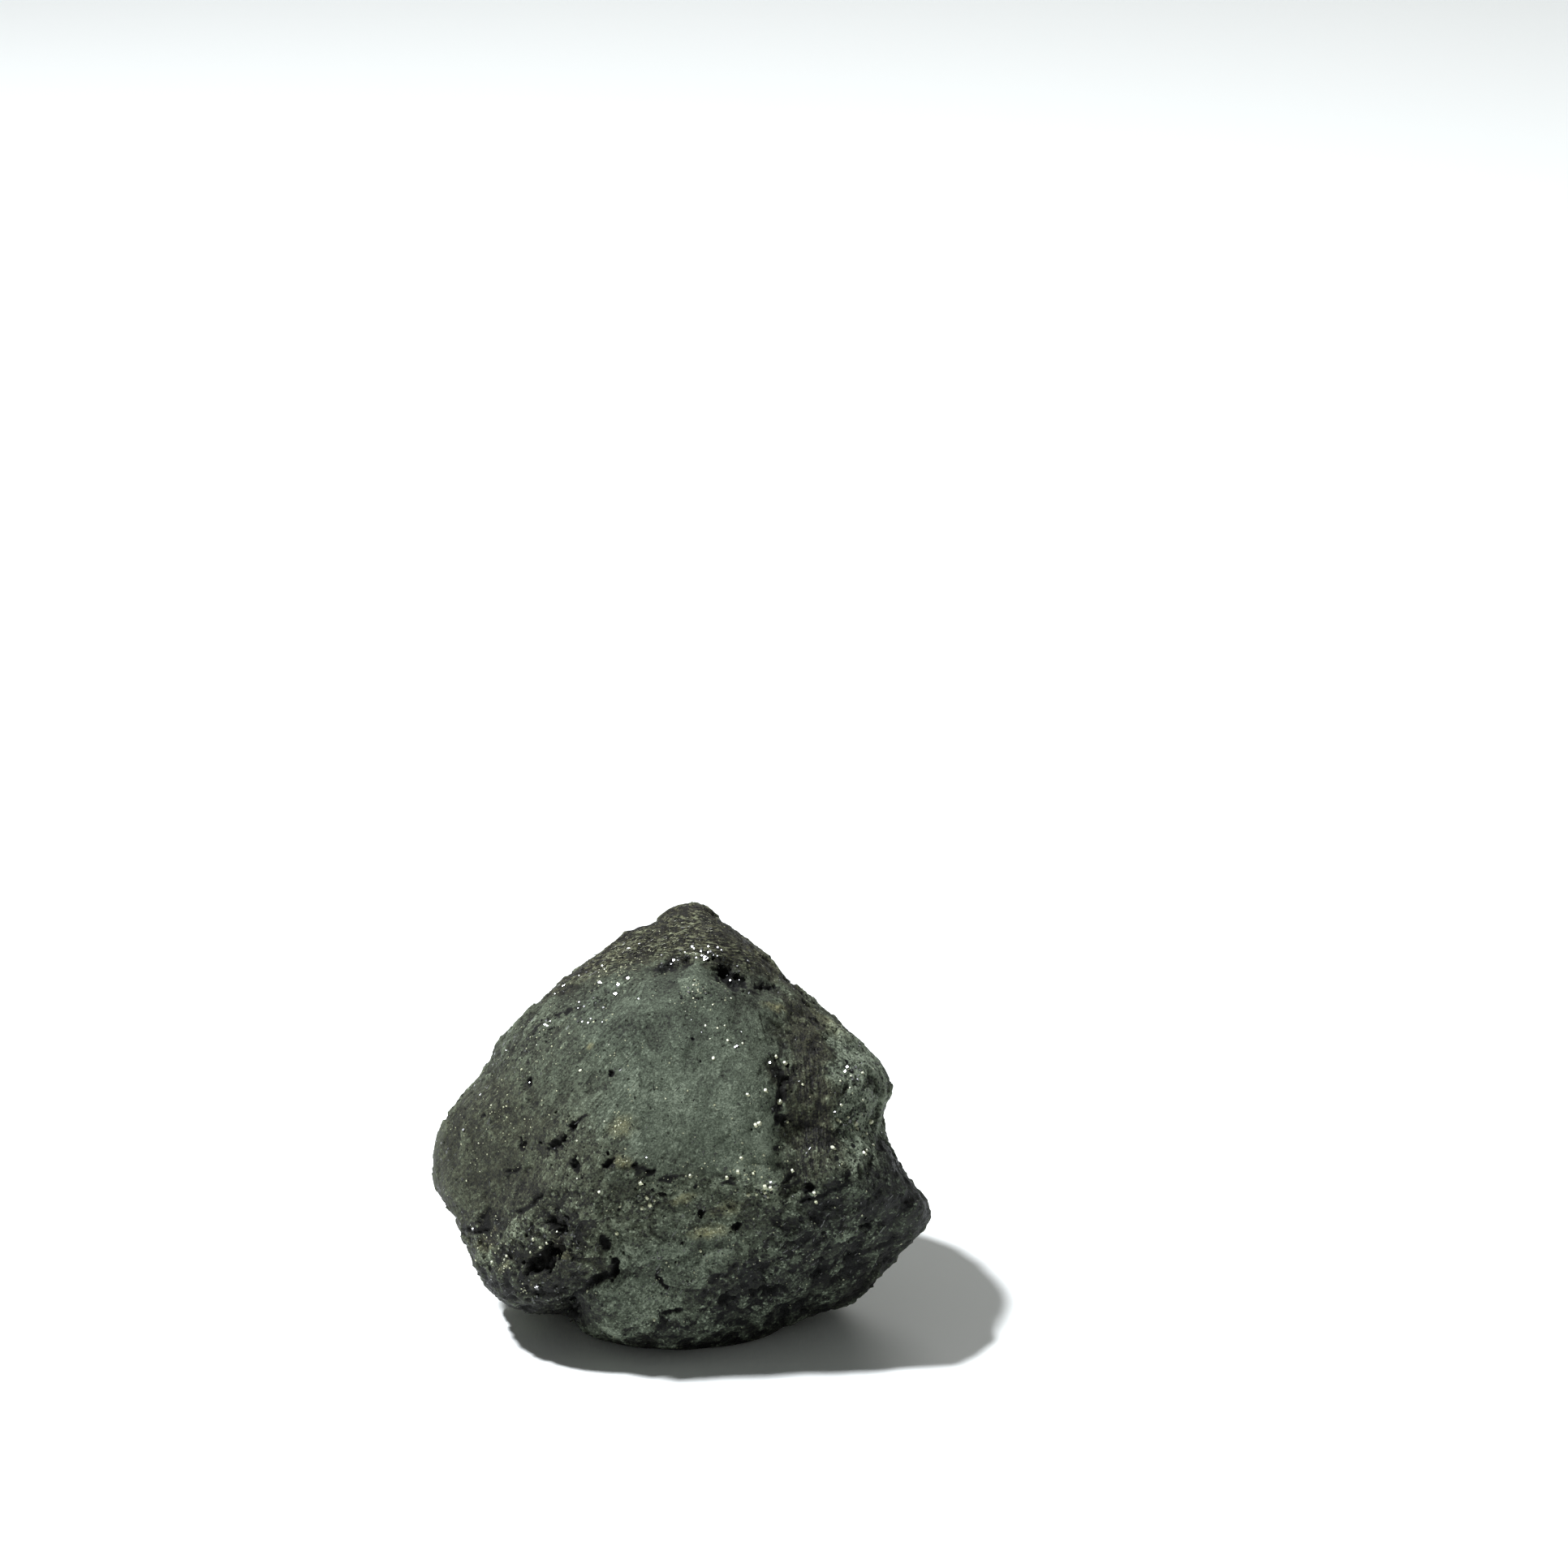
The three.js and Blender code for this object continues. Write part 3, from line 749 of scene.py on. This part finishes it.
def makeStone():
    bm = stoneBall()
    sculpt(bm)
    settle(bm)
    skin = BVHTree.FromBMesh(bm)
    finishPiece(bm, "tourmalineStone", roughSchorl()).data.shade_smooth()
    return skin


skin = makeStone()
print("the stone is made")

# Small crystals laid bare where it broke clean

cut = {  # of every small crystal and grain
    "sides": (4, 6),
    "flattened": (0.75, 1.35),
    "uneven": (0.85, 1.15),
    "end": (0.8, 1),  # how wide its flat end and its foot are, as shares of its size
    "foot": 0.7,
    "proud": 0.4,  # how far its end stands out of the skin
    "brightProud": 0.6,
    "lift": 0.03,  # mm more
    "sunk": 0.7,  # half widths that a lying one is sunk by
    "taper": 0.6,  # the thin end of a lying one
    "overArch": 8,  # degrees that those on the cap stray from its arches
    "gathered": 0.6,  # how far they stray in a patch, as a share of its reach
    "backOut": 0.2,  # those on the sides and the back look at the camera less than this
    "lowest": 2,  # mm above the ground
}

crystals = {
    "seed": 11,
    "gleam": (-23, 51),  # most of their ends look this way, along one plane of the crystal
    "scatter": 3,  # degrees
    "strewnScatter": (14, 45, 45, 70),  # one of these for each crystal in the patches
    "tooFlat": (0.7, 1.5),  # one that stands out less than this is turned up, by that much
    "ior": 1.64,
    "colours": ("#0a0b0b", "#23261f"),
    "clouding": 0.6,  # mm
    "roughness": {1: 0.35, 2: 0.75, 3: 0.08, 4: 0.4},  # clean to cloudy, as a Map Range node takes it
    "bright": [  # u, v, size
        (2.94, 20.4, 0.5), (2.65, 20.55, 0.38), (3.2, 20.25, 0.38), (2.9, 20.05, 0.3), (1.5, 21.6, 0.42),
        (1.7, 21.4, 0.22), (2.6, 21.05, 0.32), (3.85, 20, 0.42), (3.95, 20.6, 0.28), (3.4, 21.65, 0.24),
        (4.5, 21.5, 0.34), (4.95, 21.2, 0.24), (1.9, 20.75, 0.2), (2, 20.3, 0.24), (3.4, 20.95, 0.22),
        (-0.8, 19.95, 0.4), (-0.2, 20, 0.22), (-1, 19.6, 0.3), (-2.2, 20.6, 0.2), (0.1, 20.8, 0.16),
        (0.6, 20.95, 0.14), (1, 20.3, 0.16), (8.1, 19.9, 0.24), (6, 17.6, 0.2), (7.1, 17.6, 0.16),
        (-12.2, 18.1, 0.24), (-6.3, 17.8, 0.45), (-7.45, 17, 0.35), (-7.8, 15.9, 0.4), (-9.5, 17.2, 0.16),
        (-5, 15.3, 0.2), (-12.3, 14.2, 0.2), (-10.8, 12.9, 0.28), (-11.1, 12.4, 0.26), (-11.8, 12.55, 0.14),
        (-15.7, 12.6, 0.15), (-9.4, 12.5, 0.16), (-12.2, 14.9, 0.16), (-15.1, 15.9, 0.12),
        (-9.4, 19.3, 0.2), (-18.2, 5.2, 0.18), (-21, 9.1, 0.16), (-25, -12.4, 0.28), (-25.3, -12, 0.16),
        (-17.2, -19.2, 0.5), (-17.5, -19.4, 0.3), (-13.25, -20.9, 0.5), (-28.3, -9.7, 0.14),
        (6.82, 9.63, 0.42), (6.6, 9.45, 0.3), (10.8, 7.6, 0.38), (20.1, 7.1, 0.34), (21.1, 7.1, 0.4),
        (19.9, 6.5, 0.3), (21.3, 5.6, 0.34), (12.6, 0.6, 0.36),
    ],
    "patches": [  # middle, reach, turn, how many
        [(2.2, 20.7), (3, 0.9), -8, 40], [(-1, 19.9), (1.6, 0.5), 30, 16],
        [(6.3, 18.3), (2.2, 1.2), -35, 18], [(-9.5, 15.5), (3.5, 1.2), 42, 30],
        [(-16.5, 11.5), (4, 0.8), 40, 24], [(1.7, 16.2), (2.2, 1.2), 0, 26], [(11.3, 5.5), (1, 5), 0, 24],
        [(20.7, 6), (2, 1.8), 0, 36], [(21, 0.5), (2.6, 1.8), 0, 36], [(10.3, -7.7), (1.8, 0.8), 0, 26],
        [(-4.3, -8.3), (1.6, 1.8), 0, 24], [(-17, -15), (5, 4), 30, 60], [(-15, -20.5), (4, 1.2), -10, 30],
        [(16.3, -8.7), (1, 0.8), 0, 8], [(-27, -2), (1.5, 6), 0, 20],
    ],
    "nests": (14, 11, 0.16),  # how many on the sides and the back, crystals in each, and its spread
    "nestScatter": 0.3,
    "sizes": (0.18, 0.38),
    "lying": [  # black slivers laid flush in the skin, some where it has dark slits and holes, partly as their painted shade: u, v, length, half its width, turn
        (-18.2, 5.4, 1.7, 0.17, 76), (-8.2, 5.9, 0.9, 0.2, 60), (-8, 6.7, 0.8, 0.1, 66),
        (-13.1, -0.1, 1.1, 0.22, 50), (-12.2, 0.6, 1.4, 0.09, 38), (-6.7, 12.2, 1.3, 0.1, 80),
        (-14.5, 11.5, 1.1, 0.1, 84), (-13.7, 11.7, 1.2, 0.1, 70), (-11.8, 5.2, 0.6, 0.13, 40),
        (-12.8, 4.5, 0.9, 0.09, 40), (-1.8, 10.3, 0.6, 0.12, 60), (-9, 4.4, 1.8, 0.07, 58),
        (6.7, -12.4, 0.9, 0.3, 80), (2.4, -10.8, 0.8, 0.22, 85), (22.6, -12.4, 1.5, 0.28, 8),
        (-23.7, 1.2, 0.5, 0.15, 60), (-8, -4.6, 0.9, 0.25, 40), (-5.6, -4.8, 0.8, 0.2, 35),
        (-20.2, -5.6, 2, 0.12, 22), (-19.1, -2.4, 0.9, 0.22, 70),
    ],
    "litter": [  # middle, reach, turn, how many lie there
        [(-3, 5), (16, 14), 0, 90], [(-22, -3), (8, 9), 0, 40], [(-15, 14), (12, 4), 40, 50],
        [(16, -15), (13, 6), 30, 260], [(2, -10), (13, 5), 0, 90], [(-17, -15), (8, 7), 0, 130],
        [(0, -19), (12, 4), 20, 80], [(21, 2), (5, 10), 0, 70],
    ],
    "lyingSize": (0.3, 1.1, 0.05, 0.14),  # mm, length and half the width, least and most
    "lyingTurn": 22,  # degrees that they stray from the slant of the front
    "lyingOn": 0.25,  # how much the skin has to look at the camera
    "onCap": [  # middle, reach, turn, how many lie along the cap's arches
        [(-6, 21), (8, 2.2), 16, 170], [(2.5, 24), (5, 3), 0, 90], [(9, 20), (4, 2.5), -40, 60],
    ],
    "onCapSize": (0.4, 1.4, 0.03, 0.07),
}


def anyWay(spread):
    return spread * Vector([random.uniform(-1, 1) for _ in range(3)])


def anyDirection():
    return Vector([random.gauss(0, 1) for _ in range(3)])


def addCrystal(bm, middle, axis, base, end, length):
    sides = random.randint(*cut["sides"])
    made = bmesh.ops.create_cone(bm, cap_ends=True, segments=sides, radius1=base, radius2=end, depth=length)
    stretch = random.uniform(*cut["flattened"])
    for vert in made["verts"]:
        vert.co.x *= stretch * random.uniform(*cut["uneven"])
        vert.co.y *= random.uniform(*cut["uneven"])
    spin = Quaternion((0, 0, 1), random.uniform(0, math.tau))
    turned = axis.to_track_quat("Z", "Y") @ spin
    place = Matrix.Translation(middle) @ turned.to_matrix().to_4x4()
    bmesh.ops.transform(bm, verts=made["verts"], matrix=place)


def standCrystal(bm, place, normal, look, size, proud=cut["proud"]):
    end = 0.5 * size * random.uniform(*cut["end"])
    stands = proud * end * (1 - max(0, look.dot(normal)) ** 2) ** 0.5 + cut["lift"]
    addCrystal(bm, place / mm + normal * stands - look * 0.5 * size, look, cut["foot"] * size, end, size)


def layCrystal(bm, place, normal, turn, length, halfWidth):
    axis = across(turn)
    axis = (axis - axis.dot(normal) * normal).normalized()
    middle = place / mm - cut["sunk"] * halfWidth * normal
    addCrystal(bm, middle, axis, halfWidth, cut["taper"] * halfWidth, length)


def onFront(u, v):  # the place and normal seen there
    middle = form["middleOfView"]
    target = aim + (u - middle[0]) * rightView + (v - middle[1]) * upView
    return skin.ray_cast(camera.location, (target * mm - camera.location).normalized())[:2]


def onBack(out):  # the place and normal that way from the heart, or nothing on the front or the foot
    place, normal, _, _ = skin.ray_cast(heart * mm, out.normalized())
    isBack = normal.dot(toCamera) < cut["backOut"] and place.z > cut["lowest"] * mm
    return (place, normal) if isBack else (None, None)


def strewn(patch):  # a random place in a patch
    at, reach, turn = patch[:3]
    c, s = math.cos(math.radians(turn)), math.sin(math.radians(turn))
    du, dv = random.gauss(0, cut["gathered"]) * reach[0], random.gauss(0, cut["gathered"]) * reach[1]
    return at[0] + du * c - dv * s, at[1] + du * s + dv * c


def layOnCap(bm, patches, sizes):  # slivers along the cap's arches
    shortest, longest, thinnest, thickest = sizes
    bend = grain["capBend"]
    for patch in patches:
        for _ in range(patch[3]):
            u, v = strewn(patch)
            place, normal = onFront(u, v)
            if place and v + bend * u * u > grain["capStart"][0]:
                turn = math.degrees(math.atan(-2 * bend * u)) + random.gauss(0, cut["overArch"])
                length = shortest + random.random() ** 2 * (longest - shortest)
                layCrystal(bm, place, normal, turn, length, random.uniform(thinnest, thickest))


def cleanSchorl():  # tourmaline broken across the grain: glassy, nearly black
    material, tree, shader = newMaterial("cleanSchorl")
    place = addNode(tree, "TexCoord").outputs["Object"]
    scale = 1 / (crystals["clouding"] * mm)
    clouding = addNode(tree, "TexNoise", {"Scale": scale, "Detail": 2}, {"Vector": place})
    clean, dusty = (linear(colour) for colour in crystals["colours"])
    colour = addNode(tree, "Mix", {**mixed, 6: clean, 7: dusty}, {0: clouding})
    tree.links.new(colour.outputs[2], shader.inputs["Base Color"])
    dull = addNode(tree, "MapRange", crystals["roughness"], {0: clouding})
    tree.links.new(dull.outputs[0], shader.inputs["Roughness"])
    shader.inputs["IOR"].default_value = crystals["ior"]
    return material


def standCrystals(bm):
    gleam = facing(*crystals["gleam"])
    wanted = [(u, v, size, crystals["scatter"], cut["brightProud"]) for u, v, size in crystals["bright"]]
    for patch in crystals["patches"]:
        for _ in range(patch[3]):
            u, v = strewn(patch)
            size, scatter = random.uniform(*crystals["sizes"]), random.choice(crystals["strewnScatter"])
            wanted.append((u, v, size, scatter, cut["proud"]))
    least, raised = crystals["tooFlat"]
    for u, v, size, scatter, proud in wanted:
        place, normal = onFront(u, v)
        if place:
            look = (gleam + anyWay(math.radians(scatter))).normalized()
            if scatter != crystals["scatter"] and look.dot(normal) < least:
                look = (look + raised * normal).normalized()
            standCrystal(bm, place, normal, look, size, proud)


def layCrystals(bm):
    lying = list(crystals["lying"])
    shortest, longest, thinnest, thickest = crystals["lyingSize"]
    for patch in crystals["litter"]:
        for _ in range(patch[3]):
            length = shortest + random.random() ** 2 * (longest - shortest)
            halfWidth = random.uniform(thinnest, thickest)
            turn = (grain["slant"], crystals["lyingTurn"])
            lying.append((*strewn(patch), length, halfWidth, random.gauss(*turn)))
    for u, v, length, halfWidth, turn in lying:
        place, normal = onFront(u, v)
        if place and normal.dot(toCamera) > crystals["lyingOn"]:
            layCrystal(bm, place, normal, turn, length, halfWidth)


def makeCrystals():
    random.seed(crystals["seed"])
    bm = bmesh.new()
    standCrystals(bm)
    layCrystals(bm)
    layOnCap(bm, crystals["onCap"], crystals["onCapSize"])
    nests, crowd, spread = crystals["nests"]
    for _ in range(nests):
        middle = anyDirection().normalized()
        for _ in range(crowd):
            place, normal = onBack(middle + spread * anyDirection())
            if place:
                look = (normal + anyWay(crystals["nestScatter"])).normalized()
                standCrystal(bm, place, normal, look, random.uniform(*crystals["sizes"]))
    bmesh.ops.scale(bm, verts=bm.verts, vec=(mm, mm, mm))
    settle(bm)
    finishPiece(bm, "bareCrystals", cleanSchorl())


makeCrystals()
print("the small crystals are made")

# Pale grains of feldspar caught in the dust

grains = {
    "seed": 5,
    "colours": ("#6f7158", "#bfc1a0"),
    "roughness": 0.42,
    "ior": 1.53,
    "clouding": 1.0,  # mm
    "clouds": {1: 0.3, 2: 0.7},  # dark to light
    "sizes": (0.08, 0.25),
    "scatter": 0.4,
    "catching": [  # u, v, size of those that lie along the crystals' plane and catch the light; their pale colour is partly a painted glint
        (1.6, 17, 0.36), (1.55, 15.4, 0.3), (1.5, 16.2, 0.2), (6.1, 15.4, 0.22), (3.9, 14.6, 0.2),
        (3.04, 12.1, 0.26), (3.6, 10.5, 0.28), (5.35, 12.1, 0.26), (4.5, 11.8, 0.24), (5.7, 10.3, 0.28),
        (4, 8.2, 0.34), (7.5, 9.96, 0.32), (11.5, 8.5, 0.34), (12.5, 7.7, 0.4), (8.1, 3.9, 0.4),
        (10.2, 4.3, 0.44), (11.8, 3, 0.44), (9, 0.2, 0.42), (9.5, 0.4, 0.42), (12.9, 0.5, 0.3),
        (7.3, -3.8, 0.42), (6.9, -5.4, 0.48), (5.6, -6.1, 0.36), (8.75, -5.7, 0.4), (10, -3.4, 0.28),
        (8.1, -8.2, 0.36), (9.1, -8.1, 0.36), (10.2, -7.9, 0.45), (10.2, -7.25, 0.5), (10.9, -7.3, 0.45),
        (10.5, -8.5, 0.3), (13.5, -5.3, 0.34), (14.7, 5, 0.28), (16.15, -8.1, 0.42), (16.3, -9, 0.4),
        (18.35, -2.65, 0.45), (19.3, 5.4, 0.3), (18.9, 0.9, 0.34), (19.2, 0.6, 0.28), (20.2, 1.1, 0.28),
        (19.3, 2.6, 0.28), (21, 0.35, 0.42), (21.2, -0.3, 0.42), (22.8, 0.6, 0.42), (22.1, -3.3, 0.46),
        (22.4, -2.9, 0.3), (23.2, -2.3, 0.26), (20.6, 6, 0.3), (21.9, 6.4, 0.26), (20.5, 4.6, 0.26),
        (22, 3.2, 0.24), (22.4, -0.9, 0.26), (-12.06, 6.7, 0.34), (-12.45, -1.8, 0.34), (-9.8, -8, 0.32),
        (-12.4, -6.4, 0.22), (-4.9, -6.7, 0.42), (-5.1, -7.6, 0.36), (-4.2, -8.5, 0.42), (-3.8, -9.4, 0.45),
        (-4.7, -9.7, 0.4), (-3.2, -8.9, 0.3), (-7.3, -9.6, 0.24), (-7.7, -12.8, 0.42), (1.2, -5.9, 0.36),
        (-3.2, -23.3, 0.3), (2.4, -15, 0.28), (-17.8, -13.55, 0.36), (-14.96, -12.8, 0.3),
        (-21, -15.6, 0.34), (-21.2, -16.1, 0.24), (-22.7, -16.4, 0.24), (-11.2, -19.9, 0.3),
        (-18.5, -20.2, 0.26), (-18.1, -15.2, 0.2), (-16.9, -14.5, 0.28), (-16.2, -14, 0.28),
    ],
    "catchingScatter": 0.12,
    "patches": [  # middle, reach, turn, how many
        [(-22.5, -14), (2.2, 2), -20, 30], [(-13.4, -15.6), (1.4, 2), 60, 8], [(-13, 14), (10, 3), 38, 100],
        [(-7, 19.5), (4, 1.2), 22, 50], [(2, 15.8), (4, 2.4), 0, 55], [(-7.6, -0.1), (1.2, 1), 20, 20],
        [(-8, 7), (9, 7), 0, 55], [(21, 3), (3, 7), 0, 36], [(-3, -7), (7, 3), 0, 45],
        [(3.5, -12.8), (2.5, 0.8), 6, 26], [(-24, -3), (5, 8), 0, 55], [(8, -5), (6, 2), 0, 34],
        [(-6.9, -4.5), (0.8, 0.6), -20, 14], [(5, 0), (7, 7), 0, 24], [(14, -15), (12, 6), 30, 50],
        [(-18.8, -19.6), (0.8, 0.5), 30, 10], [(-21.2, -17), (0.5, 0.9), -30, 14],
        [(-21, 2), (5, 6), 40, 50], [(0, -18), (9, 3), 20, 34],
    ],
    "onCap": [  # the same for slivers that lie along the cap's arches
        [(-6, 21.3), (7, 1.8), 16, 330], [(2.5, 24.5), (4, 2.6), 0, 160], [(9, 20.5), (3.5, 2), -40, 50],
    ],
    "onCapSize": (0.25, 0.9, 0.02, 0.045),  # mm, length and half the width, least and most
    "aroundIt": 260,  # on the sides and the back
}


def weatheredFeldspar():  # pale, dull and slightly greenish, clouded from grain to grain
    material, tree, shader = newMaterial("weatheredFeldspar")
    place = addNode(tree, "TexCoord").outputs["Object"]
    scale = 1 / (grains["clouding"] * mm)
    clouding = addNode(tree, "TexNoise", {"Scale": scale, "Detail": 2}, {"Vector": place})
    spread = addNode(tree, "MapRange", grains["clouds"], {0: clouding})
    dark, light = (linear(colour) for colour in grains["colours"])
    colour = addNode(tree, "Mix", {**mixed, 6: dark, 7: light}, {0: spread})
    tree.links.new(colour.outputs[2], shader.inputs["Base Color"])
    shader.inputs["Roughness"].default_value = grains["roughness"]
    shader.inputs["IOR"].default_value = grains["ior"]
    return material


def makeGrains():
    random.seed(grains["seed"])
    bm = bmesh.new()
    places = [onFront(*strewn(patch)) for patch in grains["patches"] for _ in range(patch[3])]
    for _ in range(grains["aroundIt"]):
        places.append(onBack(anyDirection()))
    smallest, largest = grains["sizes"]
    for place, normal in places:
        if place:
            look = (normal + anyWay(grains["scatter"])).normalized()
            standCrystal(bm, place, normal, look, smallest + random.random() ** 2 * (largest - smallest))
    for u, v, size in grains["catching"]:
        place, normal = onFront(u, v)
        if place:
            look = (facing(*crystals["gleam"]) + anyWay(grains["catchingScatter"])).normalized()
            standCrystal(bm, place, normal, look, size, cut["brightProud"])
    layOnCap(bm, grains["onCap"], grains["onCapSize"])
    bmesh.ops.scale(bm, verts=bm.verts, vec=(mm, mm, mm))
    settle(bm)
    finishPiece(bm, "paleGrains", weatheredFeldspar())


makeGrains()
print("the pale grains are made")
